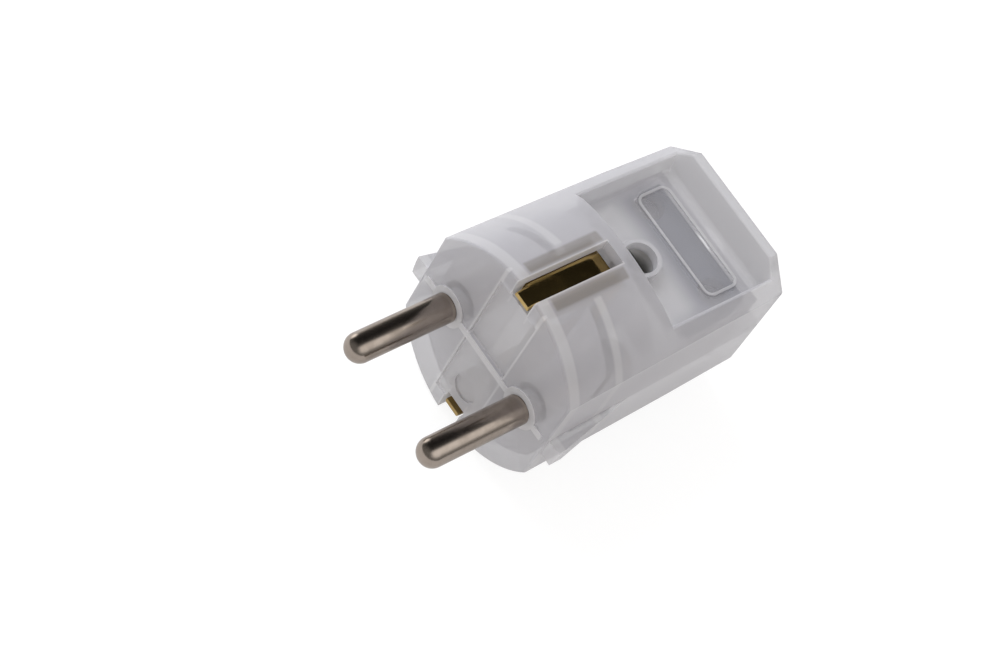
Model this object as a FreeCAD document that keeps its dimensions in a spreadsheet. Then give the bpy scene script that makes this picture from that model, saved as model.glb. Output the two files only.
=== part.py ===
import FreeCAD, Part
import os
import re

import Sketcher

# Type F mains plug for wiring by hand: two half shells that meet at z = 0, two turned contact pins,
# a bent earth strap, its terminals and a cord clamp. The pins point along -Y from the origin, which is
# the middle of the front face, and the plug lies with one earth contact up (+Z). Millimetres.

SIZES = (
    # Outer form of the two half shells
    ("body_length", 45.2, "face to the tail end"),
    ("collar_height", 0.3, "pin collars and the bar across them, above the face"),
    ("face_radius", 18.6, "round front section at the face"),
    ("tail_radius", 17.8, "round section at the tail end"),
    ("side_front", 16.0, "flat sides from the middle, at the face"),
    ("side_cut", 0.18, "share of the tail's radius that the flat sides take away"),
    ("corner_miss", 0.3, "sloping corners outside the round section, at the face"),
    ("corner_cut", 0.039, "share of the tail's radius that the sloping corners take away"),
    ("tail_drop", 0.197, "share of the tail's radius that the tail rim stays below it"),
    ("face_round", 0.4, "rounding of the face's edge"),
    ("tail_round", 1.2, "rounding of the tail's edge"),
    ("shell_wall", 2.0, "wall of the half shells"),
    ("front_wall", 2.2, "front wall"),
    ("tail_wall", 2.6, "wall at the tail"),
    ("chamber_end", 18.8, "end of the round front chamber"),
    # Finger recesses, above and below
    ("grip_floor", 8.3, "recess floor from the middle"),
    ("grip_width", 23.2, "recess floor, side to side"),
    ("grip_front", 23.7, "front of the recess floor"),
    ("tail_rim", 2.8, "rear of the recess floor to the tail end"),
    ("grip_front_lean", 0.44, "lean of the front wall for each mm of height"),
    ("grip_side_lean", 0.17, "lean of the side walls for each mm of height"),
    ("grip_rear_lean", 0.10, "lean of the rear wall for each mm of height"),
    ("grip_round", 1.0, "rounding at the recess floor"),
    ("rim_round", 0.4, "rounding of the recess' upper edge"),
    ("label_length", 19.6, "label frame, side to side"),
    ("label_width", 6.6, "label frame, front to rear"),
    ("label_from_tail", 8.4, "middle of the label frame to the tail end"),
    ("label_line", 0.45, "width of the frame's raised line"),
    ("label_height", 0.3, "height of the frame's raised line"),
    ("label_corner", 1.6, "corner radius of the frame"),
    # Front face
    ("collar_radius", 3.45, "collars round the pins"),
    ("bar_width", 1.2, "bar across the collars"),
    ("channel_width", 8.8, "shallow channel between the earth slots"),
    ("channel_depth", 0.6, "depth of the channel in the face"),
    ("channel_lap", 0.6, "length of the channel that runs into the earth slots"),
    ("blank_radius", 2.4, "blank disc in the lower channel"),
    ("blank_place", 10.2, "blank disc from the middle"),
    ("blank_depth", 0.35, "depth of the blank disc below the channel"),
    ("key_front", 0.8, "front of the side keys"),
    ("key_height", 3.8, "side keys, below the parting plane"),
    ("key_length", 17.0, "end of the side keys, where they run out"),
    # Contact pins
    ("pin_spacing", 19.0, "pin to pin"),
    ("pin_radius", 2.4, "contact pin"),
    ("pin_length", 19.0, "contact pin in front of the face"),
    ("pin_tip_round", 2.25, "rounding of the pin's tip"),
    ("pin_relief", 0.2, "gap between the collar and the pin's full thickness"),
    ("root_radius", 2.2, "root of the pin in the front wall"),
    ("shoulder_radius", 3.3, "shoulder that holds the pin between wall and rib"),
    ("neck_radius", 2.0, "neck of the pin in the rib"),
    ("terminal_radius", 3.4, "terminal end of the pin"),
    ("terminal_end", 19.2, "rear of the terminal end"),
    ("wire_radius", 1.5, "wire hole of a terminal"),
    ("wire_depth", 6.5, "depth of the wire hole"),
    ("screw_from_end", 4.0, "terminal screw from the terminal's end"),
    ("rib_front", 9.3, "front of the ribs that hold the pins"),
    ("rib_thickness", 1.6, "ribs that hold the pins"),
    ("rib_inner", 4.9, "inner edge of the ribs"),
    ("fit_gap", 0.05, "clearance of a piece in its seat"),
    ("screw_gap", 0.2, "clearance of the housing screw and its nut"),
    # Earth strap
    ("strap_width", 8.0, "earth strap"),
    ("strap_thickness", 1.0, "earth strap"),
    ("strap_inset", 3.1, "outside of the strap's arms inside the round front section"),
    ("strap_front", 2.4, "front of the strap's arms"),
    ("strap_rear", 17.4, "rear of the strap's web"),
    ("strap_bend", 1.5, "outer radius of the strap's bends"),
    ("contact_inset", 1.9, "contact surface inside the round front section"),
    ("contact_depth", 1.3, "contact surface to the underside of its tongue"),
    ("contact_width", 3.7, "contact in the slot"),
    ("tongue_width", 3.1, "narrow front end of the contact"),
    ("tongue_front", 0.3, "front of the contact behind the face"),
    ("nose_length", 0.8, "sloping front edge of the tongue"),
    ("nose_drop", 0.5, "front edge of the tongue below the contact surface"),
    ("tongue_drop", 0.3, "bend of the tongue below the contact surface"),
    ("lead_length", 0.6, "slope from the tongue to the contact surface"),
    ("lead_drop", 0.2, "slope from the tongue to the contact surface"),
    ("ramp_length", 2.75, "slope at the rear of the contact"),
    ("ramp_drop", 0.9, "slope at the rear of the contact"),
    ("contact_edge", 0.3, "rounding of the contact's long edges"),
    ("slot_width", 4.1, "slot of the earth contact"),
    ("slot_end", 17.2, "rear end of the slot"),
    ("slot_gap", 1.0, "tongue to the floor of the slot in the front wall"),
    # Screws, washer and nut
    ("thread_radius", 1.5, "all screws"),
    ("head_radius", 2.5, "all screw heads"),
    ("head_height", 1.9, "all screw heads"),
    ("drive_width", 0.8, "slot in a screw head"),
    ("drive_depth", 0.9, "slot in a screw head"),
    ("terminal_screw_reach", 3.3, "terminal screw below its head"),
    ("earth_screw_reach", 6.0, "earth screw below its head"),
    ("earth_screw_height", 3.2, "earth screw above the parting plane"),
    ("washer_width", 5.8, "earth washer"),
    ("washer_thickness", 0.8, "earth washer"),
    ("post_radius", 3.4, "post of the housing screw"),
    ("boss_height", 2.2, "boss of the housing screw above the recess floor"),
    ("head_seat", 7.0, "seat of the housing screw's head"),
    ("nut_width", 5.5, "captive nut across its flats"),
    ("nut_height", 2.4, "captive nut"),
    ("nut_seat", 5.6, "seat of the captive nut from the middle"),
    # Cord inlet and cord clamp
    ("inlet_radius", 4.5, "cord inlet in the tail"),
    ("clamp_width", 9.0, "cord clamp along the cord"),
    ("clamp_rear_gap", 1.3, "cord clamp to the tail wall"),
    ("clamp_side_gap", 1.5, "cord clamp to the side walls"),
    ("clamp_height", 6.0, "cord clamp above the parting plane"),
    ("clamp_round", 0.6, "rounding of the clamp's upper edges"),
    ("clamp_radius", 4.6, "hollow of the clamp over the cord"),
    ("clamp_foot", 2.2, "seats of the clamp's screw heads above the parting plane"),
    ("clamp_screw_inset", 2.6, "clamp screws inside the clamp's ends"),
    ("clamp_screw_reach", 7.0, "clamp screw below its head"),
    ("clamp_boss", 3.0, "radius of the clamp's bosses"),
    ("saddle_width", 1.8, "saddle rib under the cord"),
    ("pilot_depth", 5.6, "screw holes in the clamp's bosses"),
)
# Cutters reach this far past the faces they open
CLEAR = "5"
ALIASES = {alias for alias, value, meaning in SIZES}


def along_body(front, rear, y):
    """A size that changes evenly from the face to the tail, at a station."""
    return f"({front} + ({rear} - {front}) * ({y}) / body_length)"


# Places that follow from the sizes
SIDE_REAR = "(tail_radius * (1 - side_cut))"
CORNER_FRONT = "(face_radius + corner_miss)"
CORNER_REAR = "(tail_radius * (1 - corner_cut))"
TAIL_HEIGHT = "(tail_radius * (1 - tail_drop))"
GRIP_REAR = "(body_length - tail_rim)"
LABEL_PLACE = "(body_length - label_from_tail)"
STRAP_REACH = "(face_radius - strap_inset)"
CONTACT_REACH = "(face_radius - contact_inset)"
CONTACT_BASE = f"({CONTACT_REACH} - contact_depth)"
SLOT_FLOOR = f"({CONTACT_BASE} - slot_gap)"
CLAMP_REAR = "(body_length - tail_wall - clamp_rear_gap)"
CLAMP_FRONT = f"({CLAMP_REAR} - clamp_width)"
CLAMP_PLACE = f"(({CLAMP_FRONT} + {CLAMP_REAR}) / 2)"
CLAMP_HALF = f"({along_body('side_front', SIDE_REAR, CLAMP_REAR)} - shell_wall - clamp_side_gap)"
CLAMP_SCREW = f"({CLAMP_HALF} - clamp_screw_inset)"
POST_PLACE = f"((strap_rear + washer_thickness + head_height + {CLAMP_FRONT}) / 2)"

doc = FreeCAD.newDocument("type_f_plug")


def write_sheet():
    """The driving dimensions, one row each, with an alias."""
    sheet = doc.addObject("Spreadsheet::Sheet", "Sizes")
    for row, (alias, value, meaning) in enumerate(SIZES, start=1):
        sheet.set(f"A{row}", meaning)
        sheet.set(f"B{row}", str(value))
        sheet.setAlias(f"B{row}", alias)
    doc.recompute()
    return sheet


sizes = write_sheet()


def cells(text):
    """A formula with each size's name turned into its cell."""
    return re.sub(r"[a-z_]+", lambda word: f"Sizes.{word[0]}" if word[0] in ALIASES else word[0], text)


def bind(item, formulas):
    """Ties properties of an object to formulas of the sheet."""
    for name, text in formulas.items():
        item.setExpression(name, cells(text))


def place(item, x="0", y="0", z="0", rotation=FreeCAD.Rotation()):
    """Sets an object's turn, and ties its position to the sheet."""
    item.Placement = FreeCAD.Placement(FreeCAD.Vector(), rotation)
    for axis, text in zip("xyz", (x, y, z)):
        if text != "0":
            bind(item, {f"Placement.Base.{axis}": text})


ALONG_Y = FreeCAD.Rotation(FreeCAD.Vector(1, 0, 0), -90)
UPRIGHT = FreeCAD.Rotation(FreeCAD.Vector(1, 0, 0), 90)
EIGHTH_TURN = FreeCAD.Rotation(FreeCAD.Vector(0, 1, 0), 45)


# Primitives and booleans

def box(name, x, y, z):
    """A box between the low and high formulas of each axis."""
    item = doc.addObject("Part::Box", name)
    sides = zip(("Length", "Width", "Height"), (x, y, z))
    bind(item, {side: f"({high}) - ({low})" for side, (low, high) in sides})
    place(item, x[0], y[0], z[0])
    return item


def rod_along_y(name, radius, low, high, x="0", z="0"):
    """A cylinder along Y."""
    item = doc.addObject("Part::Cylinder", name)
    bind(item, {"Radius": radius, "Height": f"({high}) - ({low})"})
    place(item, x, low, z, ALONG_Y)
    return item


def rod_along_z(name, radius, low, high, x="0", y="0"):
    """A cylinder along Z."""
    item = doc.addObject("Part::Cylinder", name)
    bind(item, {"Radius": radius, "Height": f"({high}) - ({low})"})
    place(item, x, y, low)
    return item


def hexagon(name, width, low, high, x="0", y="0"):
    """A hexagonal prism along Z, given by its width across the flats."""
    item = doc.addObject("Part::Prism", name)
    item.Polygon = 6
    bind(item, {"Circumradius": f"({width}) / 2 / cos(30)", "Height": f"({high}) - ({low})"})
    place(item, x, y, low)
    return item


def cone_along_y(name, low, high, low_radius, high_radius):
    """A cone along Y."""
    item = doc.addObject("Part::Cone", name)
    bind(item, {"Radius1": low_radius, "Radius2": high_radius, "Height": f"({high}) - ({low})"})
    place(item, "0", low, "0", ALONG_Y)
    return item


def taper(name, low, high, x_low, x_high, z_low, z_high, rotation=FreeCAD.Rotation()):
    """A tapered block along its own Y, with an X and a Z range at each end."""
    item = doc.addObject("Part::Wedge", name)
    bind(item, {"Ymin": low, "Ymax": high})
    bind(item, dict(zip(("Xmin", "Xmax", "Zmin", "Zmax"), (*x_low, *z_low))))
    bind(item, dict(zip(("X2min", "X2max", "Z2min", "Z2max"), (*x_high, *z_high))))
    place(item, rotation=rotation)
    return item


def both(half):
    """The range from minus a formula to plus the same formula."""
    return f"-({half})", f"{half}"


def joined(name, *items):
    """The union of objects."""
    item = doc.addObject("Part::MultiFuse", name)
    item.Shapes = list(items)
    item.Refine = True
    return item


def shared(name, *items):
    """The space that all the objects share."""
    item = doc.addObject("Part::MultiCommon", name)
    item.Shapes = list(items)
    item.Refine = True
    return item


def cut(name, base, *tools):
    """An object with the tools cut out of it."""
    item = doc.addObject("Part::Cut", name)
    item.Base = base
    item.Tool = tools[0] if len(tools) == 1 else joined(f"{name}_tools", *tools)
    item.Refine = True
    return item


def mirrored(name, source, normal):
    """A copy on the other side of the plane through the origin."""
    item = doc.addObject("Part::Mirroring", name)
    item.Source = source
    item.Normal = normal
    return item


def size(text):
    """A formula's present value."""
    return sizes.evalExpression(cells(text))


def on_plane(edge, axis, value):
    """Whether an edge lies in the plane at a coordinate."""
    return all(abs(getattr(point, axis) - value) < 1e-4 for point in edge.discretize(5))


def rounded(name, base, radius, chosen):
    """A fillet on the edges that the test chooses."""
    doc.recompute()
    item = doc.addObject("Part::Fillet", name)
    item.Base = base
    item.Edges = [(n, radius, radius) for n, edge in enumerate(base.Shape.Edges, start=1) if chosen(edge)]
    return item


SIDEWAYS = FreeCAD.Vector(1, 0, 0)
UPWARDS = FreeCAD.Vector(0, 0, 1)


# Sketches and bodies

def new_body(label):
    """An empty body with its label."""
    body = doc.addObject("PartDesign::Body", label)
    body.Label = label
    return body


def sketch_on(body, name, role, offset="0"):
    """A sketch on one of the body's own planes, moved along the plane's normal."""
    sketch = body.newObject("Sketcher::SketchObject", name)
    plane = next(item for item in body.Origin.OriginFeatures if item.Role == role)
    sketch.AttachmentSupport = (plane, [""])
    sketch.MapMode = "FlatFace"
    if offset != "0":
        bind(sketch, {"AttachmentOffset.Base.z": offset})
    return sketch


def fix_point(sketch, geometry, position, x, y):
    """Ties a sketch point to the formulas of its coordinates."""
    for kind, axis, text in (("DistanceX", -2, x), ("DistanceY", -1, y)):
        if text == "0":
            sketch.addConstraint(Sketcher.Constraint("PointOnObject", geometry, position, axis))
            continue
        number = sketch.addConstraint(Sketcher.Constraint(kind, -1, 1, geometry, position, 1.0))
        sketch.setExpression(f"Constraints[{number}]", cells(text))


def draw_outline(sketch, corners):
    """A closed outline of straight lines through corners given as formulas."""
    count = len(corners)
    spread = [FreeCAD.Vector(n + 1.0, n * n + 1.0, 0) for n in range(count)]
    for n in range(count):
        sketch.addGeometry(Part.LineSegment(spread[n], spread[(n + 1) % count]), False)
    for n in range(count):
        sketch.addConstraint(Sketcher.Constraint("Coincident", n, 2, (n + 1) % count, 1))
    for n, (x, y) in enumerate(corners):
        fix_point(sketch, n, 1, x, y)


def draw_circle(sketch, radius, x="0", y="0"):
    """A circle with its centre and radius given as formulas."""
    circle = Part.Circle(FreeCAD.Vector(1, 1, 0), FreeCAD.Vector(0, 0, 1), 1.0)
    geometry = sketch.addGeometry(circle, False)
    fix_point(sketch, geometry, 3, x, y)
    number = sketch.addConstraint(Sketcher.Constraint("Radius", geometry, 1.0))
    sketch.setExpression(f"Constraints[{number}]", cells(radius))


def rectangle(x, y):
    """The corners of a rectangle between low and high formulas."""
    return [(x[0], y[0]), (x[1], y[0]), (x[1], y[1]), (x[0], y[1])]


def turn(body, role, corners):
    """Revolves an outline of radius and station about the sketch's upright axis."""
    sketch = sketch_on(body, f"{body.Name}_profile", role)
    draw_outline(sketch, corners)
    feature = body.newObject("PartDesign::Revolution", f"{body.Name}_turned")
    feature.Profile = sketch
    feature.ReferenceAxis = (sketch, ["V_Axis"])
    feature.Angle = 360
    doc.recompute()
    return feature


def pad(body, name, sketch, length, symmetric=False):
    """Extrudes a sketch by a formula."""
    feature = body.newObject("PartDesign::Pad", name)
    feature.Profile = sketch
    if symmetric:
        feature.SideType = "Symmetric"
    bind(feature, {"Length": length})
    doc.recompute()
    return feature


def pocket(body, name, sketch, depth):
    """Cuts a sketch into the body and makes sure that it took material away."""
    before = body.Shape.Volume
    feature = body.newObject("PartDesign::Pocket", name)
    feature.Profile = sketch
    bind(feature, {"Length": depth})
    doc.recompute()
    if body.Shape.Volume >= before:
        raise ValueError(f"{name} cuts nothing")
    return feature


def round_edges(body, name, base, radius, chosen):
    """Rounds the edges of the body's last feature that the test chooses."""
    edges = [f"Edge{n}" for n, edge in enumerate(base.Shape.Edges, start=1) if chosen(edge)]
    feature = body.newObject("PartDesign::Fillet", name)
    feature.Base = (base, edges)
    bind(feature, {"Radius": radius})
    doc.recompute()
    return feature


# Half shells

def outer_form():
    """The closed outer form: a slightly conical drum with flat sides, sloping corners and a lower tail."""
    drum = cone_along_y("drum", "0", "body_length", "face_radius", "tail_radius")
    wide = both(f"face_radius + {CLEAR}")
    sides = taper("sides", "0", "body_length", both("side_front"), both(SIDE_REAR), wide, wide)
    corners = taper("corners", "0", "body_length", both(CORNER_FRONT), both(CORNER_REAR),
                    both(CORNER_FRONT), both(CORNER_REAR), EIGHTH_TURN)
    whole = shared("whole_form", shared("flats", corners, sides), drum)
    trim = box("tail_trim", wide, ("grip_front", f"body_length + {CLEAR}"),
               (TAIL_HEIGHT, f"face_radius + {CLEAR}"))
    form = cut("form", whole, trim, mirrored("tail_trim_below", trim, UPWARDS))
    face = rounded("rounded_face", form, size("face_round"), lambda edge: on_plane(edge, "y", 0))
    tail = size("body_length")
    return rounded("rounded_form", face, size("tail_round"), lambda edge: on_plane(edge, "y", tail))


def grip_cutter():
    """The finger recess: a block with leaning walls and a rounded floor."""
    top = f"face_radius + {CLEAR}"
    rise = f"({top} - grip_floor)"
    floor_y = (f"-{GRIP_REAR}", "-grip_front")
    top_y = (f"-({GRIP_REAR} + grip_rear_lean * {rise})", f"-(grip_front - grip_front_lean * {rise})")
    block = taper("grip_block", "grip_floor", top, both("grip_width / 2"),
                  both(f"grip_width / 2 + grip_side_lean * {rise}"), floor_y, top_y, UPRIGHT)
    floor = size("grip_floor")
    return rounded("grip_cutter", block, size("grip_round"), lambda edge: on_plane(edge, "z", floor))


def gripped_form():
    """The outer form with both finger recesses, whose upper edges are rounded."""
    form, grip = outer_form(), grip_cutter()
    grips = [grip, mirrored("grip_below", grip, UPWARDS)]
    gripped = cut("gripped_form", form, *grips)
    doc.recompute()
    outside, walls = form.Shape.Shells[0], Part.makeCompound([item.Shape.Shells[0] for item in grips])

    def is_rim(edge):
        points = [Part.Vertex(point) for point in edge.discretize(5)]
        return all(max(p.distToShape(outside)[0], p.distToShape(walls)[0]) < 1e-4 for p in points)

    return rounded("soft_rims", gripped, size("rim_round"), is_rim)


def chambers():
    """The hollow inside: a round front chamber and a flat one under the finger recesses."""
    ends = ("front_wall", "chamber_end")
    radii = [f"{along_body('face_radius', 'tail_radius', y)} - shell_wall" for y in ends]
    widths = [both(f"{along_body('side_front', SIDE_REAR, y)} - shell_wall") for y in ends]
    tall = both("face_radius")
    front = shared("front_chamber", cone_along_y("front_hollow", *ends, *radii),
                   taper("front_sides", *ends, *widths, tall, tall))
    ends = ("chamber_end - shell_wall", "body_length - tail_wall")
    widths = [both(f"{along_body('side_front', SIDE_REAR, y)} - shell_wall") for y in ends]
    low = both("grip_floor - shell_wall")
    return front, taper("rear_chamber", *ends, *widths, low, low)


def pin_pairs(make):
    """What a function makes at each pin's place."""
    return [make("left", "-pin_spacing / 2"), make("right", "pin_spacing / 2")]


def shell_fittings():
    """Collars, the bar across them, the ribs that hold the pins and the post of the housing screw."""
    collars = pin_pairs(lambda side, x: rod_along_y(f"collar_{side}", "collar_radius", "-collar_height",
                                                    "front_wall", x))
    bar = box("bar", both("side_front - shell_wall / 2"), ("-collar_height", "front_wall"),
              both("bar_width / 2"))
    rib_y = ("rib_front", "rib_front + rib_thickness")
    rib_x = ("rib_inner", f"{along_body('side_front', SIDE_REAR, 'rib_front')} - shell_wall / 2")
    radii = [f"{along_body('face_radius', 'tail_radius', y)} - shell_wall / 2" for y in rib_y]
    rib = shared("rib_right", box("rib_block", rib_x, rib_y, both("face_radius")),
                 cone_along_y("rib_disc", *rib_y, *radii))
    post = rod_along_z("post", "post_radius", *both("grip_floor"), "0", POST_PLACE)
    return [*collars, bar, rib, mirrored("rib_left", rib, SIDEWAYS), post]


def shell_openings():
    """Holes for the pins, the earth contacts, the housing screw and the cord."""
    holes = pin_pairs(lambda side, x: rod_along_y(f"pin_hole_{side}", "root_radius + fit_gap", f"-{CLEAR}",
                                                  "front_wall + fit_gap", x))
    necks = pin_pairs(lambda side, x: rod_along_y(f"neck_hole_{side}", "neck_radius + fit_gap",
                                                  "front_wall", "terminal_end", x))
    slot = box("slot", both("slot_width / 2"), (f"-{CLEAR}", "slot_end"),
               (SLOT_FLOOR, f"face_radius + {CLEAR}"))
    screw = rod_along_z("screw_hole", "thread_radius + screw_gap", *both("face_radius"), "0", POST_PLACE)
    inlet = rod_along_y("inlet", "inlet_radius", f"body_length - tail_wall - {CLEAR}",
                        f"body_length + {CLEAR}")
    return [*holes, *necks, slot, mirrored("slot_below", slot, UPWARDS), screw, inlet]


def whole_shell():
    """Both half shells in one, before they are parted."""
    channel = box("channel", both("channel_width / 2"), (f"-{CLEAR}", "channel_depth"),
                  both(f"{SLOT_FLOOR} + channel_lap"))
    hollow = cut("hollow_form", gripped_form(), channel, *chambers())
    fitted = joined("fitted_form", hollow, *shell_fittings())
    return cut("shell", fitted, *shell_openings())


def label_frame():
    """The raised line round the bare label field."""
    frames = []
    for name, inset in (("label_outside", "0"), ("label_inside", "label_line")):
        half = f"(label_width / 2 - {inset})"
        block = box(name, both(f"label_length / 2 - {inset}"),
                    (f"{LABEL_PLACE} - {half}", f"{LABEL_PLACE} + {half}"),
                    ("grip_floor - label_height", "grip_floor + label_height"))
        corner = size("label_corner") - (size("label_line") if inset != "0" else 0)
        frames.append(rounded(f"{name}_rounded", block, corner,
                              lambda edge: abs(edge.tangentAt(edge.FirstParameter).z) > 0.9))
    outside, inside = frames
    return cut("label_frame", outside, inside)


def upper_housing(shell):
    """The half with the boss of the housing screw and the label frame."""
    half = shared("upper_half", shell, half_space("above", ("0", f"face_radius + {CLEAR}")))
    boss_top = "grip_floor + boss_height"
    boss = rod_along_z("boss", "post_radius", "grip_floor - shell_wall", boss_top, "0", POST_PLACE)
    fitted = joined("upper_fitted", half, boss, label_frame())
    seat = rod_along_z("head_hole", "head_radius + screw_gap", "head_seat", f"face_radius + {CLEAR}", "0",
                       POST_PLACE)
    hole = rod_along_z("upper_screw_hole", "thread_radius + screw_gap", "0", "face_radius", "0",
                       POST_PLACE)
    return cut("upper_housing", fitted, seat, hole)


def half_space(name, z):
    """A block that takes in one side of the parting plane."""
    return box(name, both(f"face_radius + {CLEAR}"), (f"-{CLEAR}", f"body_length + {CLEAR}"), z)


def side_key():
    """A guide key on the flat side that runs out towards the rear."""
    ends = ("key_front", "key_length")
    rear = along_body("side_front", SIDE_REAR, "key_length")
    inside = f"{rear} - shell_wall / 2"
    wedge = taper("key_block", *ends, (inside, "face_radius"), (inside, f"{rear} - fit_gap"),
                  ("-key_height", "0"), ("-key_height", "0"))
    drum = cone_along_y("key_drum", "0", "body_length", "face_radius", "tail_radius")
    return shared("key_right", wedge, drum)


def clamp_pairs(make):
    """What a function makes at the place of each screw of the cord clamp."""
    return [make("left", f"-{CLAMP_SCREW}"), make("right", CLAMP_SCREW)]


def cord_space(name):
    """The space of the cord from the front of its clamp to the tail wall."""
    return rod_along_y(name, "clamp_radius", f"{CLAMP_FRONT} - fit_gap", "body_length - tail_wall")


def lower_housing(shell):
    """The half with the side keys, the nut's seat, and the bosses and saddle of the cord clamp."""
    half = shared("lower_half", shell, half_space("below", (f"-(face_radius + {CLEAR})", "0")))
    key = side_key()
    bosses = clamp_pairs(lambda side, x: rod_along_z(f"clamp_boss_{side}", "clamp_boss",
                                                     "-grip_floor + fit_gap", "0", x, CLAMP_PLACE))
    saddle = box("saddle_block", both(CLAMP_SCREW),
                 (f"{CLAMP_PLACE} - saddle_width / 2", f"{CLAMP_PLACE} + saddle_width / 2"),
                 ("-grip_floor + fit_gap", "0"))
    fitted = joined("lower_fitted", half, key, mirrored("key_left", key, SIDEWAYS), *bosses, saddle)
    pilots = clamp_pairs(lambda side, x: rod_along_z(f"pilot_{side}", "thread_radius + fit_gap",
                                                     "-pilot_depth", CLEAR, x, CLAMP_PLACE))
    cord = cord_space("saddle_hollow")
    nut = hexagon("nut_trap", "nut_width + screw_gap", "-face_radius", "-nut_seat", "0", POST_PLACE)
    blank_face = "channel_depth + blank_depth"
    blank = rod_along_y("blank", "blank_radius", f"-{CLEAR}", blank_face, "0", "-blank_place")
    return cut("lower_housing", fitted, *pilots, cord, nut, blank)


# Contact pins and their screws

def contact_pin(side, x):
    """A pin turned in one piece: tip, root, shoulder, neck and terminal end, drilled for wire and screw."""
    body = new_body(f"contact_pin_{side}")
    root = "-(collar_height + pin_relief)"
    rib_rear = "rib_front + rib_thickness"
    corners = [("0", "-pin_length"), ("pin_radius", "-pin_length"), ("pin_radius", root),
               ("root_radius", root), ("root_radius", "front_wall"),
               ("shoulder_radius", "front_wall"), ("shoulder_radius", "rib_front"),
               ("neck_radius", "rib_front"), ("neck_radius", rib_rear), ("terminal_radius", rib_rear),
               ("terminal_radius", "terminal_end"), ("0", "terminal_end")]
    turned = turn(body, "XY_Plane", corners)
    tip = -size("pin_length")
    round_edges(body, f"{body.Name}_tip", turned, "pin_tip_round", lambda edge: on_plane(edge, "y", tip))
    wire = sketch_on(body, f"{body.Name}_wire", "XZ_Plane", "-terminal_end + wire_depth")
    draw_circle(wire, "wire_radius")
    pocket(body, f"{body.Name}_wire_hole", wire, "wire_depth")
    screw = sketch_on(body, f"{body.Name}_thread", "XY_Plane", "terminal_radius")
    draw_circle(screw, "thread_radius", "0", "terminal_end - screw_from_end")
    pocket(body, f"{body.Name}_screw_hole", screw, "terminal_radius")
    place(body, x)
    return body


def slotted_screw(label, reach, x="0", y="0", z="0", rotation=FreeCAD.Rotation()):
    """A cheese-head screw along its own Z, with its head's seat at the given place."""
    body = new_body(label)
    shank = "thread_radius - fit_gap / 2"
    turn(body, "XZ_Plane", [("0", f"-({reach})"), (shank, f"-({reach})"), (shank, "0"),
                            ("head_radius", "0"), ("head_radius", "head_height"), ("0", "head_height")])
    drive = sketch_on(body, f"{label}_drive", "XY_Plane", "head_height")
    draw_outline(drive, rectangle(both("head_radius + drive_width"), both("drive_width / 2")))
    pocket(body, f"{label}_slot", drive, "drive_depth")
    place(body, x, y, z, rotation)
    return body


# Earth strap with its terminal

def earth_strap():
    """A bent strap: an upright web with two arms, and a raised contact along each arm."""
    body = new_body("earth_strap")
    profile = sketch_on(body, "strap_profile", "YZ_Plane")
    inner = f"{STRAP_REACH} - strap_thickness"
    web = "strap_rear - strap_thickness"
    draw_outline(profile, [("strap_front", STRAP_REACH), ("strap_rear", STRAP_REACH),
                           ("strap_rear", f"-{STRAP_REACH}"), ("strap_front", f"-{STRAP_REACH}"),
                           ("strap_front", f"-({inner})"), (web, f"-({inner})"), (web, inner),
                           ("strap_front", inner)])
    bent = pad(body, "strap_bent", profile, "strap_width", symmetric=True)
    rear, reach = size("strap_rear"), size(STRAP_REACH)

    def is_bend(edge):
        return on_plane(edge, "y", rear) and (on_plane(edge, "z", reach) or on_plane(edge, "z", -reach))

    round_edges(body, "strap_bends", bent, "strap_bend", is_bend)
    end = "slot_end - strap_bend / 2"
    contact = [("strap_front", CONTACT_BASE), ("strap_front", f"{CONTACT_REACH} - lead_drop"),
               ("strap_front + lead_length", CONTACT_REACH), (f"{end} - ramp_length", CONTACT_REACH),
               (end, f"{CONTACT_REACH} - ramp_drop"), (end, CONTACT_BASE)]
    tongue = [("tongue_front", CONTACT_BASE), ("tongue_front", f"{CONTACT_REACH} - nose_drop"),
              ("tongue_front + nose_length", f"{CONTACT_REACH} - tongue_drop"),
              ("strap_front", f"{CONTACT_REACH} - lead_drop"), ("strap_front", CONTACT_BASE)]
    raised = []
    for name, corners in (("contact", contact), ("tongue", tongue)):
        sketch = sketch_on(body, f"{name}_profile", "YZ_Plane")
        draw_outline(sketch, corners)
        raised.append(pad(body, f"{name}_raised", sketch, f"{name}_width", symmetric=True))
    below = body.newObject("PartDesign::Mirrored", "contact_below")
    below.Originals = raised
    below.MirrorPlane = (next(item for item in body.Origin.OriginFeatures if item.Role == "XY_Plane"), [""])
    body.Tip = below
    doc.recompute()
    long_edges = [(size("contact_width") / 2, size(f"{CONTACT_REACH} - ramp_drop")),
                  (size("tongue_width") / 2, size(f"{CONTACT_REACH} - nose_drop"))]

    def is_long_edge(edge):
        span = edge.BoundBox
        return span.YLength > 1e-4 and any(
            all(abs(abs(point.x) - half) < 1e-4 and abs(point.z) > low - 1e-4 for point in edge.discretize(3))
            for half, low in long_edges)

    round_edges(body, "contact_edges", below, "contact_edge", is_long_edge)
    thread = sketch_on(body, "earth_thread", "XZ_Plane", "-strap_rear + 2 * strap_thickness")
    draw_circle(thread, "thread_radius", "0", "earth_screw_height")
    pocket(body, "earth_hole", thread, "3 * strap_thickness")
    return body


def earth_washer():
    """A square clamp washer behind the strap's web."""
    plate = box("washer_plate", both("washer_width / 2"), ("strap_rear", "strap_rear + washer_thickness"),
                ("earth_screw_height - washer_width / 2", "earth_screw_height + washer_width / 2"))
    hole = rod_along_y("washer_hole", "thread_radius + fit_gap", "0", "body_length", "0",
                       "earth_screw_height")
    return cut("earth_washer", plate, hole)


# Housing nut and cord clamp

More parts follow.
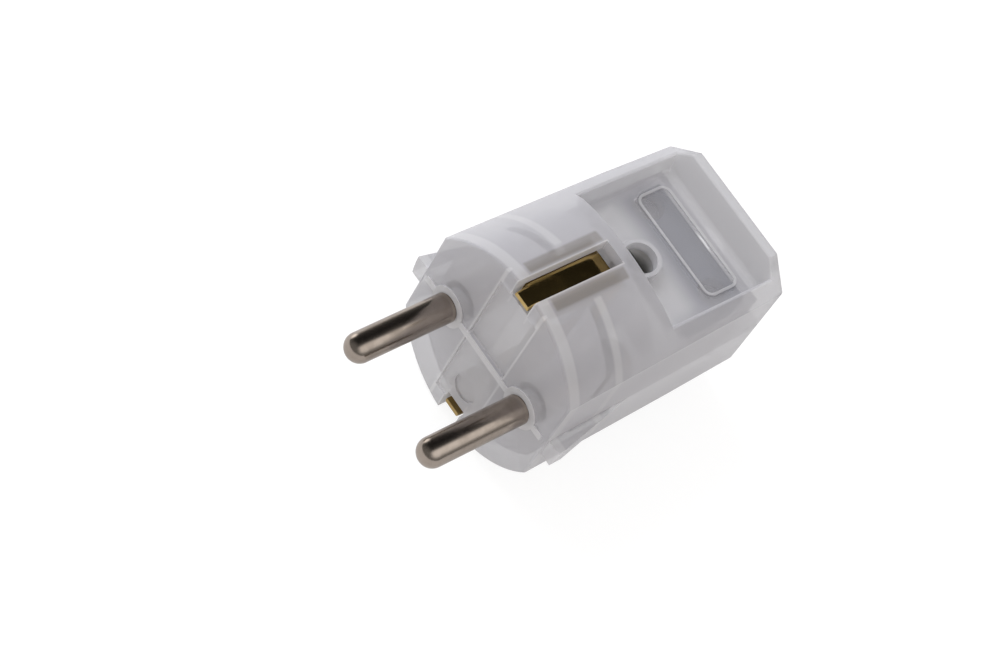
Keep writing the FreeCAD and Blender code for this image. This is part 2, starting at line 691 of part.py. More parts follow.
def housing_nut():
    """The captive hexagon nut of the housing screw."""
    blank = hexagon("nut_blank", "nut_width", "-(nut_seat + nut_height)", "-nut_seat", "0", POST_PLACE)
    hole = rod_along_z("nut_hole", "thread_radius", "-face_radius", "0", "0", POST_PLACE)
    return cut("housing_nut", blank, hole)


def cord_clamp():
    """A bar over the cord, hollowed for it and screwed to the lower shell with sunk heads."""
    block = box("clamp_block", both(CLAMP_HALF), (CLAMP_FRONT, CLAMP_REAR), ("0", "clamp_height"))
    top = size("clamp_height")
    bar = rounded("clamp_bar", block, size("clamp_round"), lambda edge: on_plane(edge, "z", top))
    holes = clamp_pairs(lambda side, x: rod_along_z(f"clamp_hole_{side}", "thread_radius + fit_gap",
                                                    f"-{CLEAR}", CLEAR, x, CLAMP_PLACE))
    seats = clamp_pairs(lambda side, x: rod_along_z(f"clamp_seat_{side}", "head_radius + screw_gap",
                                                    "clamp_foot", f"clamp_height + {CLEAR}", x,
                                                    CLAMP_PLACE))
    return cut("cord_clamp", bar, cord_space("clamp_hollow"), *holes, *seats)


def build():
    """All sub-parts, each under the label that names its file."""
    shell = whole_shell()
    nodes = [upper_housing(shell), lower_housing(shell)]
    nodes += pin_pairs(contact_pin)
    screw_y = "terminal_end - screw_from_end"
    nodes += pin_pairs(lambda side, x: slotted_screw(f"terminal_screw_{side}", "terminal_screw_reach", x,
                                                     screw_y, "terminal_radius"))
    nodes += [earth_strap(), earth_washer(),
              slotted_screw("earth_screw", "earth_screw_reach", "0", "strap_rear + washer_thickness",
                            "earth_screw_height", ALONG_Y)]
    housing_reach = "head_seat + nut_seat + nut_height"
    nodes += [slotted_screw("housing_screw", housing_reach, "0", POST_PLACE, "head_seat"), housing_nut()]
    nodes += [cord_clamp()]
    nodes += clamp_pairs(lambda side, x: slotted_screw(f"cord_clamp_screw_{side}", "clamp_screw_reach", x,
                                                       CLAMP_PLACE, "clamp_foot"))
    return nodes


def write_parts(nodes):
    """Checks the document and writes one file for each sub-part."""
    doc.recompute()
    failed = [item.Name for item in doc.Objects if {"Invalid", "Error"} & set(item.State)]
    if failed:
        raise ValueError(f"failed objects: {failed}")
    for node in nodes:
        if node.Shape.isNull() or not node.Shape.isValid() or len(node.Shape.Solids) != 1:
            raise ValueError(f"{node.Label} is not one sound solid: {len(node.Shape.Solids)}")
    os.makedirs("parts", exist_ok=True)
    for node in nodes:
        solid = node.Shape.Solids[0]
        solid.exportStep(f"parts/{node.Label}.step")
        print(f"{node.Label}: {solid.Volume:.1f} mm3, {len(solid.Faces)} faces")


write_parts(build())
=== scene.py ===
"""Looks of a type F plug: frosted half shells over nickel pins, a brass earth strap and its fixings."""

import logging
import math
from dataclasses import dataclass, field
from enum import Enum
from typing import ClassVar

import bpy
from mathutils import Euler, Matrix, Vector


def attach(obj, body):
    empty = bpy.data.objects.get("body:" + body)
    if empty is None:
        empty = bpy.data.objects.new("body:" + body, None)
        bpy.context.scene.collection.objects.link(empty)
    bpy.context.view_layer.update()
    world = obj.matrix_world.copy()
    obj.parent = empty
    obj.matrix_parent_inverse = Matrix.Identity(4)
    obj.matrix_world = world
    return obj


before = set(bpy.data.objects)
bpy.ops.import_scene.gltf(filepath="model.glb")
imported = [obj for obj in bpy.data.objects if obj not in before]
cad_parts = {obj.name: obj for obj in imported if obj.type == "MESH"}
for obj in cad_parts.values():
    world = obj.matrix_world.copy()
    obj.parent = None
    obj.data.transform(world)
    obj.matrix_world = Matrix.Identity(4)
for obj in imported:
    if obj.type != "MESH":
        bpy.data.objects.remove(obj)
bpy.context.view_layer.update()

MM = 0.001
BODY = "root"
WELD_REACH = 0.0005 * MM
CREASE = 32.0
log = logging.getLogger("type_f_plug")


class Slot(Enum):
    """Material slots of the record."""

    SHELL = "frosted_plastic"
    PIN = "nickel_plate"
    STRAP = "brass"
    FIXING = "zinc_steel"
    CLAMP = "clamp_plastic"


class Axis(Enum):
    """Directions in which a finish is drawn or a screw points."""

    X = 0
    Y = 1
    Z = 2


# Finishes


class NodeBuilder:
    """Adds nodes to a tree and joins them."""

    def __init__(self, tree: bpy.types.NodeTree) -> None:
        """Takes up a tree.

        Args:
            tree: The tree to build in.
        """
        self.nodes = tree.nodes
        self.links = tree.links

    def add(self, kind: str, inputs: dict | None = None, **settings: object) -> bpy.types.Node:
        """Adds a node.

        Args:
            kind: The node's type name.
            inputs: Values or output sockets for its inputs, by name or number.
            settings: Values for the node's own properties.

        Returns:
            The new node.
        """
        node = self.nodes.new(kind)
        for name, value in settings.items():
            setattr(node, name, value)
        for key, value in (inputs or {}).items():
            if isinstance(value, bpy.types.NodeSocket):
                self.links.new(value, node.inputs[key])
            else:
                node.inputs[key].default_value = value
        return node

    def math(self, operation: str, *values: object) -> bpy.types.NodeSocket:
        """Adds a Math node.

        Args:
            operation: The node's operation.
            values: Its inputs, as numbers or sockets.

        Returns:
            The result.
        """
        return self.add("ShaderNodeMath", dict(enumerate(values)), operation=operation).outputs[0]


class ShaderTree(NodeBuilder):
    """The node tree of a material or of the room while it is being built."""

    def __init__(self, owner: bpy.types.Material | bpy.types.World) -> None:
        """Empties the owner's tree.

        Args:
            owner: The material or world that the tree belongs to.
        """
        owner.use_nodes = True
        super().__init__(owner.node_tree)
        self.owner = owner
        self.nodes.clear()

    def vector(self, operation: str, *values: object) -> bpy.types.NodeSocket:
        """Adds a Vector Math node.

        Args:
            operation: The node's operation.
            values: Its inputs, as vectors or sockets.

        Returns:
            The result, a number for a length or a dot product.
        """
        node = self.add("ShaderNodeVectorMath", dict(enumerate(values)), operation=operation)
        return node.outputs["Value" if operation in ("LENGTH", "DOT_PRODUCT") else "Vector"]

    def beyond(self, offset: bpy.types.NodeSocket, half: tuple[float, float, float]) -> bpy.types.NodeSocket:
        """Works out how far a point lies outside a box.

        Args:
            offset: The point, from the box's middle.
            half: Half the box's sides.

        Returns:
            The distance, 0 inside the box.
        """
        past = self.vector("SUBTRACT", self.vector("ABSOLUTE", offset), half)
        return self.vector("LENGTH", self.vector("MAXIMUM", past, (0, 0, 0)))

    def spread(self, value: object, source: tuple[float, float],
               target: tuple[float, float]) -> bpy.types.NodeSocket:
        """Adds a smooth Map Range node.

        Args:
            value: The number to map.
            source: The range it comes from.
            target: The range it goes to.

        Returns:
            The result.
        """
        ends = dict(enumerate((value, *source, *target)))
        return self.add("ShaderNodeMapRange", ends, interpolation_type="SMOOTHSTEP").outputs[0]

    def place(self) -> bpy.types.NodeSocket:
        """Returns the Object coordinates."""
        return self.add("ShaderNodeTexCoord").outputs["Object"]

    def noise(self, scale: float, stretch: tuple[float, float, float] = (1, 1, 1), detail: float = 3.0,
              roughness: float = 0.55) -> bpy.types.NodeSocket:
        """Adds noise on Object coordinates.

        Args:
            scale: Waves per metre.
            stretch: Scale factors of the three axes.
            detail: The noise's octaves.
            roughness: Weight of the finer octaves.

        Returns:
            The noise value.
        """
        mapping = self.add("ShaderNodeMapping", {"Vector": self.place(), "Scale": stretch})
        node = self.add("ShaderNodeTexNoise", {"Vector": mapping.outputs[0], "Scale": scale, "Detail": detail,
                                               "Roughness": roughness})
        return node.outputs["Fac"]

    def tint(self, factor: object, low: object, high: tuple[float, ...]) -> bpy.types.NodeSocket:
        """Adds a mix of two colours.

        Args:
            factor: Where between the colours.
            low: The colour at 0, as numbers or a socket.
            high: The colour at 1.

        Returns:
            The colour.
        """
        start = low if isinstance(low, bpy.types.NodeSocket) else (*low, 1)
        return self.add("ShaderNodeMix", {0: factor, 6: start, 7: (*high, 1)}, data_type="RGBA").outputs[2]

    def blend(self, factor: object, low: object, high: object) -> bpy.types.NodeSocket:
        """Adds a mix of two numbers.

        Args:
            factor: Where between the numbers.
            low: The number at 0.
            high: The number at 1.

        Returns:
            The number.
        """
        return self.add("ShaderNodeMix", {0: factor, 2: low, 3: high}).outputs[0]

    def bump(self, height: object, distance: float, strength: object = 1.0) -> bpy.types.NodeSocket:
        """Adds a Bump node.

        Args:
            height: The height, from 0 to 1.
            distance: The depth of the bumps in metres.
            strength: How much of them shows.

        Returns:
            The bumped normal.
        """
        node = self.add("ShaderNodeBump", {"Height": height, "Distance": distance, "Strength": strength})
        return node.outputs[0]

    def finish(self, shader: bpy.types.Node) -> bpy.types.Material | bpy.types.World:
        """Joins a shader to the output.

        Args:
            shader: The surface's shader node.

        Returns:
            The finished material or world.
        """
        kind = "World" if isinstance(self.owner, bpy.types.World) else "Material"
        self.add(f"ShaderNodeOutput{kind}", {"Surface": shader.outputs[0]})
        return self.owner


@dataclass(frozen=True)
class MouldPlace:
    """A box, in millimetres, that marks a part of the moulding on both sides and in both halves.

    Attributes:
        low: The box's low corner, where X and Z are positive.
        high: Its high corner.
        soft: How far the mark fades out beyond the box.
        share: How strong the mark is inside the box.
        ahead: Added along Y, so that only X and Z are folded.
    """

    low: tuple[float, float, float]
    high: tuple[float, float, float]
    soft: float = 0.3
    share: float = 1.0
    ahead: ClassVar[float] = 10.0

    def mask(self, tree: ShaderTree) -> bpy.types.NodeSocket:
        """Marks the place.

        Args:
            tree: The material's tree.

        Returns:
            The place's share inside it, fading to 0 outside it.
        """
        shift = Vector((0, self.ahead, 0))
        low, high = Vector(self.low) + shift, Vector(self.high) + shift
        folded = tree.vector("ABSOLUTE", tree.vector("ADD", tree.place(), shift * MM))
        offset = tree.vector("SUBTRACT", folded, (low + high) / 2 * MM)
        return tree.spread(tree.beyond(offset, (high - low) / 2 * MM), (0, self.soft * MM), (self.share, 0))


@dataclass(frozen=True)
class Tone:
    """How the plastic looks in given places, where its wall differs or where shade is painted: its colour
    there, how much it hides, and the places.
    """

    colour: tuple[float, float, float]
    cover: float
    places: tuple[MouldPlace, ...]

    def mask(self, tree: ShaderTree) -> bpy.types.NodeSocket:
        """Marks all the tone's places.

        Args:
            tree: The material's tree.

        Returns:
            The largest share of the places.
        """
        marked = self.places[0].mask(tree)
        for place in self.places[1:]:
            marked = tree.math("MAXIMUM", marked, place.mask(tree))
        return marked


# Painted shade: a dark warm colour where the earth strap's arms lie close under the wall stands in for the
# shade they cast through the plastic.
STRAP_ARM_PAINTED_SHADE = Tone((0.26, 0.24, 0.225), 0.6, (
    MouldPlace((2.75, 3.0, 13.0), (4.1, 16.6, 20), 0.6, 0.85),  # painted shade of the earth strap's arms, which lie under the wall beside the slots
))
# Painted shade: the rear walls of the finger recesses are coloured greyer and less see-through, standing in
# for shade that falls there.
TAIL_WALL_PAINTED_SHADE = Tone((0.45, 0.445, 0.47), 0.68, (
    MouldPlace((0, 40.6, 7.9), (11.0, 44.0, 13.4), 1.5),  # rear walls of the finger recesses, painted greyer as shade
))
THICK_WALLS = Tone((0.78, 0.775, 0.785), 0.7, (
    MouldPlace((0, 0.6, 0), (20, 2.0, 20), 0.5, 0.35),  # front wall
    MouldPlace((5.2, 9.7, 0), (20, 10.5, 20), 0.6, 0.35),  # ribs that hold the pins
    MouldPlace((0, -1, 0), (20, -0.18, 20), 0.12, 0.75),  # pin collars and the bar across them
    MouldPlace((4.25, -0.1, 0), (4.55, 0.7, 20), 0.35, 0.55),  # edges of the channel in the face
    MouldPlace((1.9, 0, 12.5), (2.15, 17.3, 20), 0.2, 0.5),  # edges of the earth slots
    MouldPlace((0, 33.3, 8.45), (10, 40.3, 9.0), 0.1, 0.5),  # label frame
    MouldPlace((0, 23.5, 6.0), (9.0, 28.5, 8.4), 4.0, 0.55),  # recess floors round the screw's post
))


@dataclass(frozen=True)
class FrostedPlastic:
    """Milky see-through plastic with the tones of its walls and painted shade over the strap's arms and the
    recesses' rear walls, and clear in a polished label field.
    """

    name: str
    milk: tuple[float, float, float] = (0.53, 0.525, 0.56)
    clear: tuple[float, float, float] = (0.6, 0.595, 0.625)
    cover: tuple[float, float] = (0.45, 0.88)
    field_cover: float = 0.32
    transmission: float = 0.1
    ior: float = 1.46
    slant_blend: float = 0.35
    cloud_scale: float = 120.0
    waves: float = 240.0
    wave_depth: float = 0.01 * MM
    frost: tuple[float, float] = (0.31, 0.4)
    frost_scale: float = 60.0
    frost_spread: tuple[float, float] = (0.3, 0.7)
    polish: float = 0.08
    field_place: tuple[float, float, float] | None = None
    field_half: tuple[float, float] = (9.35 * MM, 2.85 * MM)
    field_corner: float = 1.15 * MM
    field_depth: float = 2.3 * MM
    field_edge: float = 0.15 * MM
    field_fade: float = 3.5 * MM

    def polished(self, tree: ShaderTree, fade: float) -> bpy.types.NodeSocket:
        """Marks the label field.

        Args:
            tree: The material's tree.
            fade: How far the mark fades out beyond the field.

        Returns:
            1 inside the field and 0 outside it.
        """
        corner = self.field_corner
        core = (self.field_half[0] - corner, self.field_half[1] - corner, self.field_depth)
        reach = tree.beyond(tree.vector("SUBTRACT", tree.place(), self.field_place), core)
        return tree.spread(reach, (corner + fade, corner - self.field_edge), (0, 1))

    def material(self) -> bpy.types.Material:
        """Returns the finished material."""
        tree = ShaderTree(bpy.data.materials.new(self.name))
        colour = tree.tint(tree.noise(self.cloud_scale, detail=2), self.milk, self.clear)
        slant = tree.add("ShaderNodeLayerWeight", {"Blend": self.slant_blend}).outputs["Facing"]
        cover = tree.spread(slant, (0, 1), self.cover)
        roughness = tree.spread(tree.noise(self.frost_scale), self.frost_spread, self.frost)
        strength = 1.0
        if self.field_place is not None:
            field_mask = self.polished(tree, 0)
            roughness = tree.blend(field_mask, roughness, self.polish)
            strength = tree.math("SUBTRACT", 1.0, field_mask)
            cover = tree.blend(self.polished(tree, self.field_fade), cover, self.field_cover)
        # Tones: painted shade over the strap's arms and on the recesses' rear walls, then whiter thick walls.
        for tone in (STRAP_ARM_PAINTED_SHADE, TAIL_WALL_PAINTED_SHADE, THICK_WALLS):
            share = tone.mask(tree)
            colour = tree.tint(share, colour, tone.colour)
            cover = tree.blend(share, cover, tone.cover)
        shader = tree.add("ShaderNodeBsdfPrincipled", {
            "Base Color": colour,
            "Roughness": roughness,
            "IOR": self.ior,
            "Transmission Weight": self.transmission,
            "Alpha": cover,
            "Normal": tree.bump(tree.noise(self.waves, detail=0), self.wave_depth, strength),
        })
        return tree.finish(shader)


@dataclass(frozen=True)
class DrawnMetal:
    """Plated or rolled metal with fine lines, cloudy tarnish and an uneven polish."""

    name: str
    bright: tuple[float, float, float]
    dull: tuple[float, float, float]
    roughness: tuple[float, float]
    lines: Axis = Axis.Y
    line_scale: float = 9000.0
    line_depth: float = 0.004 * MM
    line_share: float = 0.35
    tarnish_scale: float = 260.0
    tarnish_spread: tuple[float, float] = (0.35, 0.75)
    worn_spread: tuple[float, float] = (0.2, 0.8)
    stretch: ClassVar[float] = 0.03

    def material(self) -> bpy.types.Material:
        """Returns the finished material."""
        tree = ShaderTree(bpy.data.materials.new(self.name))
        along = tuple(self.stretch if axis is self.lines else 1.0 for axis in Axis)
        lines = tree.noise(self.line_scale, along, detail=2)
        tarnish = tree.spread(tree.noise(self.tarnish_scale, detail=4), self.tarnish_spread, (0, 1))
        clouds = tree.math("MULTIPLY", tarnish, 1 - self.line_share)
        worn = tree.math("MULTIPLY_ADD", lines, self.line_share, clouds)
        shader = tree.add("ShaderNodeBsdfPrincipled", {
            "Base Color": tree.tint(worn, self.bright, self.dull),
            "Metallic": 1.0,
            "Roughness": tree.spread(worn, self.worn_spread, self.roughness),
            "Normal": tree.bump(lines, self.line_depth),
        })
        return tree.finish(shader)


@dataclass(frozen=True)
class MouldedNylon:
    """Opaque moulded plastic with a pebbled skin and faint flow clouds."""

    name: str
    dark: tuple[float, float, float]
    light: tuple[float, float, float]
    roughness: tuple[float, float] = (0.42, 0.6)
    flow_scale: float = 180.0
    flow_stretch: tuple[float, float, float] = (1, 0.4, 1)
    grain: float = 3200.0
    grain_depth: float = 0.02 * MM
    grain_spread: tuple[float, float] = (0.3, 0.7)

    def material(self) -> bpy.types.Material:
        """Returns the finished material."""
        tree = ShaderTree(bpy.data.materials.new(self.name))
        flow = tree.noise(self.flow_scale, self.flow_stretch)
        grain = tree.noise(self.grain, detail=2)
        shader = tree.add("ShaderNodeBsdfPrincipled", {
            "Base Color": tree.tint(flow, self.dark, self.light),
            "Roughness": tree.spread(grain, self.grain_spread, self.roughness),
            "Normal": tree.bump(grain, self.grain_depth),
        })
        return tree.finish(shader)


NICKEL = DrawnMetal("satin_nickel", (0.41, 0.355, 0.31), (0.28, 0.236, 0.2), (0.19, 0.26))
BRASS = DrawnMetal("rolled_brass", (0.58, 0.42, 0.17), (0.39, 0.265, 0.09), (0.12, 0.26))
ZINC = DrawnMetal("zinc_plating", (0.66, 0.66, 0.65), (0.5, 0.49, 0.46), (0.29, 0.42), Axis.Z)
SLATE_NYLON = MouldedNylon("slate_nylon", (0.048, 0.066, 0.098), (0.076, 0.097, 0.135))


# Sub-assemblies


def dress(node: str, material: bpy.types.Material) -> None:
    """Gives a CAD node its finish and smooth shading that keeps its sharp edges.

    Args:
        node: The node's name.
        material: Its finish.
    """
    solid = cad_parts[node]
    solid.data.materials.clear()
    solid.data.materials.append(material)
    solid.data.polygons.foreach_set("use_smooth", [True] * len(solid.data.polygons))
    weld = solid.modifiers.new("joined_triangles", "WELD")
    weld.merge_threshold = WELD_REACH
    split = solid.modifiers.new("sharp_edges", "EDGE_SPLIT")
    split.split_angle = math.radians(CREASE)
    log.info("dressed %s in %s", node, material.name)


@dataclass
class ThreadMaker:
    """A node tree that winds a screw's thread, kept for all the screws."""

    ridge: float = 0.16 * MM
    pitch: float = 0.5 * MM
    points_per_turn: int = 28
    ridge_sides: int = 4
    run_out: float = 0.06
    least_ridge: float = 0.15
    tree: bpy.types.NodeTree = field(init=False)
    sockets: dict[str, str] = field(init=False, default_factory=dict)

    def __post_init__(self) -> None:
        """Builds the tree with its named inputs."""
        self.tree = bpy.data.node_groups.new("screw_thread", "GeometryNodeTree")
        for name in ("Turns", "Pitch", "Shank Radius", "Ridge", "Run-out", "Finish"):
            kind = "Material" if name == "Finish" else "Float"
            socket = self.tree.interface.new_socket(name, in_out="INPUT", socket_type=f"NodeSocket{kind}")
            self.sockets[name] = socket.identifier
        self.tree.interface.new_socket("Thread", in_out="OUTPUT", socket_type="NodeSocketGeometry")
        self.wind()

    def wind(self) -> None:
        """Joins a spiral, its run-outs and a ridge profile into one mesh."""
        builder = NodeBuilder(self.tree)
        given = builder.add("NodeGroupInput").outputs
        spiral = builder.add("GeometryNodeCurveSpiral", {
            "Resolution": self.points_per_turn,
            "Rotations": given["Turns"],
            "Start Radius": given["Shank Radius"],
            "End Radius": given["Shank Radius"],
            "Height": builder.math("MULTIPLY", given["Turns"], given["Pitch"]),
        })
        upright = builder.add("GeometryNodeSetCurveNormal", {"Curve": spiral.outputs[0]}, mode="Z_UP")
        station = builder.add("GeometryNodeSplineParameter").outputs["Factor"]
        rise = self.ramp(builder, station, given["Run-out"])
        fall = self.ramp(builder, builder.math("SUBTRACT", 1.0, station), given["Run-out"])
        swell = builder.add("GeometryNodeSetCurveRadius", {
            "Curve": upright.outputs[0], "Radius": builder.math("MULTIPLY", rise, fall)})
        profile = builder.add("GeometryNodeCurvePrimitiveCircle", {
            "Resolution": self.ridge_sides, "Radius": given["Ridge"]})
        sweep = builder.add("GeometryNodeCurveToMesh", {
            "Curve": swell.outputs[0], "Profile Curve": profile.outputs[0], "Fill Caps": True})
        real = builder.add("GeometryNodeRealizeInstances", {0: sweep.outputs[0]})
        coat = builder.add("GeometryNodeSetMaterial", {
            "Geometry": real.outputs[0], "Material": given["Finish"]})
        builder.add("NodeGroupOutput", {0: coat.outputs[0]})

    def ramp(self, builder: NodeBuilder, value: bpy.types.NodeSocket,
             length: bpy.types.NodeSocket) -> bpy.types.NodeSocket:
        """Adds a rise from a small share to 1 over a length.

        Args:
            builder: The builder of the tree.
            value: The station along the spiral.
            length: The length of the rise.

        Returns:
            The ridge's share of its full size.
        """
        ends = {"Value": value, "From Max": length, "To Min": self.least_ridge}
        return builder.add("ShaderNodeMapRange", ends).outputs["Result"]

    def make(self, name: str, radius: float, length: float, place: Matrix,
             finish: bpy.types.Material) -> bpy.types.Object:
        """Winds one thread and puts it on its screw.

        Args:
            name: The piece's name.
            radius: The shank's radius.
            length: The thread's length along the shank.
            place: Turns the tree's Z to the screw's axis and moves it there.
            finish: The screw's material.

        Returns:
            The piece, riding on the body.
        """
        carrier = bpy.data.objects.new(f"{name}_carrier", bpy.data.meshes.new(f"{name}_carrier"))
        bpy.context.scene.collection.objects.link(carrier)
        modifier = carrier.modifiers.new("thread", "NODES")
        modifier.node_group = self.tree
        values = {"Turns": length / self.pitch, "Pitch": self.pitch, "Shank Radius": radius,
                  "Ridge": self.ridge, "Run-out": self.run_out, "Finish": finish}
        for socket, value in values.items():
            modifier[self.sockets[socket]] = value
        evaluated = carrier.evaluated_get(bpy.context.evaluated_depsgraph_get())
        mesh = bpy.data.meshes.new_from_object(evaluated)
        bpy.data.objects.remove(carrier)
        mesh.name = name
        mesh.transform(place)
        piece = bpy.data.objects.new(name, mesh)
        bpy.context.scene.collection.objects.link(piece)
        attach(piece, BODY)
        log.info("wound %s: %d faces", name, len(mesh.polygons))
        return piece


@dataclass
class HalfShells:
    """The two frosted half shells and the polished label field of the upper one."""

    upper: str = "upper_housing"
    lower: str = "lower_housing"
    label_place: tuple[float, float, float] = (0.0, 36.8 * MM, 8.3 * MM)

    def build(self) -> None:
        """Dresses both halves."""
        dress(self.upper, FrostedPlastic("frosted_shell_labelled", field_place=self.label_place).material())
        dress(self.lower, FrostedPlastic("frosted_shell").material())


@dataclass
class PinSet:
    """The contact pins with their terminal screws."""

    sides: tuple[str, ...] = ("left", "right")

    def build(self, zinc: bpy.types.Material) -> None:
        """Dresses the pins and their screws.

        Args:
            zinc: The screws' finish.
        """
        nickel = NICKEL.material()
        for side in self.sides:
            dress(f"contact_pin_{side}", nickel)
            dress(f"terminal_screw_{side}", zinc)


@dataclass
class EarthBridge:
    """The bent earth strap with the screw and washer of its terminal."""

    shank: float = 1.475 * MM
    screw_tip: tuple[float, float, float] = (0.0, 12.25 * MM, 3.2 * MM)
    thread_length: float = 4.0 * MM

    def build(self, zinc: bpy.types.Material, threads: ThreadMaker) -> None:
        """Dresses the strap and winds the thread on the screw's free end.

        Args:
            zinc: The screw's and washer's finish.
            threads: The maker of threads.
        """
        dress("earth_strap", BRASS.material())
        dress("earth_washer", zinc)
        dress("earth_screw", zinc)
        turn = Euler((math.radians(-90), 0, 0)).to_matrix().to_4x4()
        threads.make("earth_screw_thread", self.shank, self.thread_length,
                     Matrix.Translation(self.screw_tip) @ turn, zinc)


@dataclass
class HousingFixing:
    """The screw and captive nut that hold the half shells together."""

    shank: float = 1.475 * MM
    thread_start: tuple[float, float, float] = (0.0, 26.2 * MM, -5.3 * MM)
    thread_length: float = 8.0 * MM

    def build(self, zinc: bpy.types.Material, threads: ThreadMaker) -> None:
        """Dresses screw and nut and winds the screw's thread.

        Args:
            zinc: Their finish.
            threads: The maker of threads.
        """
        dress("housing_screw", zinc)
        dress("housing_nut", zinc)
        threads.make("housing_screw_thread", self.shank, self.thread_length,
                     Matrix.Translation(self.thread_start), zinc)


@dataclass
class CordClamp:
    """The bar over the cord and its two screws."""

    sides: tuple[str, ...] = ("left", "right")

    def build(self, zinc: bpy.types.Material) -> None:
        """Dresses the bar and its screws.

        Args:
            zinc: The screws' finish.
        """
        dress("cord_clamp", SLATE_NYLON.material())
        for side in self.sides:
            dress(f"cord_clamp_screw_{side}", zinc)


# Studio


@dataclass(frozen=True)
class SoftBox:
    """A square lamp that faces the plug and isn't seen in its mirrors."""

    name: str
    place: tuple[float, float, float]
    size: float
    power: float
    colour: tuple[float, float, float]

    def hang(self, target: Vector) -> None:
        """Hangs the lamp.

        Args:
            target: The point that it faces.
        """
        light = bpy.data.lights.new(self.name, "AREA")
        light.size, light.energy, light.color = self.size, self.power, self.colour
        lamp = bpy.data.objects.new(self.name, light)
        lamp.location = self.place
        lamp.visible_glossy = False
        lamp.rotation_euler = (target - Vector(self.place)).to_track_quat("-Z", "Y").to_euler()
        bpy.context.scene.collection.objects.link(lamp)


KEY = SoftBox("key_softbox", (-0.42, -0.04, 0.45), 0.4, 2.3, (0.94, 0.955, 1.0))
FILL = SoftBox("fill_softbox", (0.38, -0.3, 0.3), 0.5, 0.65, (1.0, 0.9, 0.82))


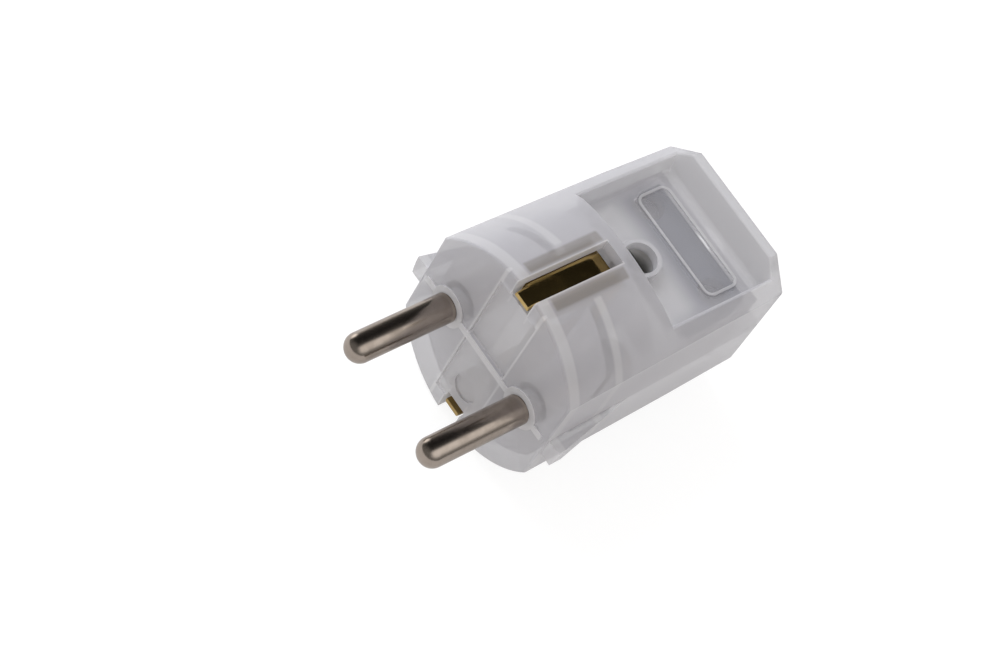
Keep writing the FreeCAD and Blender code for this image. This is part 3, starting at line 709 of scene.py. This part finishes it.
@dataclass
class Studio:
    """A white table, soft light from above, a room with dark and bright bands for mirrors, and the camera."""

    floor_height: float = -18.52 * MM
    floor_reach: float = 6.0
    floor_colour: tuple[float, float, float] = (0.7, 0.7, 0.7)
    floor_glow: float = 1.16
    glow_share: float = 0.74
    camera_place: tuple[float, float, float] = (0.105798, -0.219487, 0.332653)
    look: tuple[float, float, float] = (-0.25997, 0.53965, -0.80074)
    right: tuple[float, float, float] = (0.55949, 0.76006, 0.33059)
    lens: float = 100.8
    clip: tuple[float, float] = (0.01, 20.0)
    target: tuple[float, float, float] = (0.0, 0.014, 0.0)
    # Degrees from straight up towards +X, and the room's brightness there
    mirror_room: tuple[tuple[float, float], ...] = (
        (-120, 0.32), (-90, 0.175), (-60, 0.055), (-38, 0.02), (-15, 0.024), (2, 0.08), (15, 0.56), (33, 1.4),
        (52, 1.28), (74, 0.44), (95, 0.22), (120, 0.26))
    mirror_share: float = 0.2
    room_tint: tuple[float, float, float] = (1.0, 0.985, 0.97)
    room_light: float = 0.78
    left_glow: tuple[float, float, float] = (-0.993, 0.105, 0.05)
    glow_spread: tuple[float, float] = (0.9, 0.995)
    glow_strength: float = 2.1
    front_spread: tuple[float, float] = (-0.3, -0.9)
    front_level: float = 0.24

    def build(self) -> None:
        """Sets up the view, the table, the lamps and the surroundings."""
        bpy.context.scene.view_settings.view_transform = "Standard"
        self.floor()
        for lamp in (KEY, FILL):
            lamp.hang(Vector(self.target))
        self.surroundings()
        self.camera()

    def floor(self) -> None:
        """Lays the white table, which is clear from below."""
        reach, height = self.floor_reach, self.floor_height
        mesh = bpy.data.meshes.new("table")
        plan = ((-reach, -reach), (reach, -reach), (reach, reach), (-reach, reach))
        mesh.from_pydata([(x, y, height) for x, y in plan], [], [(0, 1, 2, 3)])
        table = bpy.data.objects.new("table", mesh)
        bpy.context.scene.collection.objects.link(table)
        tree = ShaderTree(bpy.data.materials.new("white_table"))
        matte = tree.add("ShaderNodeBsdfDiffuse", {"Color": (*self.floor_colour, 1)})
        glow = tree.add("ShaderNodeEmission", {"Color": (1, 1, 1, 1), "Strength": self.floor_glow})
        share = tree.math("MULTIPLY", self.seen(tree), self.glow_share)
        mix = tree.add("ShaderNodeMixShader", {0: share, 1: matte.outputs[0], 2: glow.outputs[0]})
        under = tree.add("ShaderNodeNewGeometry").outputs["Backfacing"]
        clear = tree.add("ShaderNodeBsdfTransparent").outputs[0]
        one_sided = tree.add("ShaderNodeMixShader", {0: under, 1: mix.outputs[0], 2: clear})
        mesh.materials.append(tree.finish(one_sided))

    def seen(self, tree: ShaderTree) -> bpy.types.NodeSocket:
        """Tells rays that show the background from rays that light the object.

        Args:
            tree: The tree of the background's material.

        Returns:
            1 for camera rays and a small share for mirror and see-through rays.
        """
        path = tree.add("ShaderNodeLightPath").outputs
        bent = tree.math("MAXIMUM", path["Is Transmission Ray"], path["Is Glossy Ray"])
        return tree.math("MAXIMUM", path["Is Camera Ray"], tree.math("MULTIPLY", bent, self.mirror_share))

    def surroundings(self) -> None:
        """Makes the room: white where it is seen, even light elsewhere, and soft bands for mirrors."""
        world = bpy.data.worlds.new("room")
        bpy.context.scene.world = world
        tree = ShaderTree(world)
        path = tree.add("ShaderNodeLightPath").outputs
        level = tree.blend(path["Is Glossy Ray"], self.room_light, self.mirrored(tree))
        room = tree.add("ShaderNodeBackground", {"Color": (*self.room_tint, 1), "Strength": level})
        white = tree.add("ShaderNodeBackground", {"Color": (1, 1, 1, 1), "Strength": 1.0})
        seen = tree.math("MAXIMUM", path["Is Camera Ray"], path["Is Transmission Ray"])
        tree.finish(tree.add("ShaderNodeMixShader", {0: seen, 1: room.outputs[0], 2: white.outputs[0]}))

    def mirrored(self, tree: ShaderTree) -> bpy.types.NodeSocket:
        """Works out how bright the room looks in a mirror.

        Args:
            tree: The room's tree.

        Returns:
            The strength in the direction of the mirror's ray.
        """
        way = tree.add("ShaderNodeTexCoord").outputs["Generated"]
        parts = tree.add("ShaderNodeSeparateXYZ", {0: way}).outputs
        turn = tree.math("ARCTAN2", parts["X"], parts["Z"])
        share = tree.math("MULTIPLY_ADD", turn, 0.5 / math.pi, 0.5)
        bands = tree.add("ShaderNodeFloatCurve", {"Value": share})
        peak = max(strength for _, strength in self.mirror_room)
        for degrees, strength in self.mirror_room:
            bands.mapping.curves[0].points.new(0.5 + degrees / 360, strength / peak)
        bands.mapping.update()
        sides = tree.math("MULTIPLY", bands.outputs[0], peak)
        ahead = tree.spread(parts["Y"], self.front_spread, (0, 1))
        toward = tree.vector("DOT_PRODUCT", way, self.left_glow)
        glow = tree.spread(toward, self.glow_spread, (0, self.glow_strength))
        return tree.math("ADD", tree.blend(ahead, sides, self.front_level), glow)

    def camera(self) -> None:
        """Puts the camera at the photograph's viewing angle."""
        back, right = -Vector(self.look).normalized(), Vector(self.right)
        right = (right - right.dot(back) * back).normalized()
        turn = Matrix((right, back.cross(right), back)).transposed()
        data = bpy.data.cameras.new("view")
        data.lens = self.lens
        data.clip_start, data.clip_end = self.clip
        camera = bpy.data.objects.new("view", data)
        camera.matrix_world = Matrix.Translation(self.camera_place) @ turn.to_4x4()
        bpy.context.scene.collection.objects.link(camera)
        bpy.context.scene.camera = camera


def main() -> None:
    """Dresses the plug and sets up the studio."""
    logging.basicConfig(level=logging.INFO, format="%(name)s: %(message)s")
    zinc = ZINC.material()
    threads = ThreadMaker()
    HalfShells().build()
    PinSet().build(zinc)
    EarthBridge().build(zinc, threads)
    HousingFixing().build(zinc, threads)
    CordClamp().build(zinc)
    Studio().build()


if __name__ == "__main__":
    main()
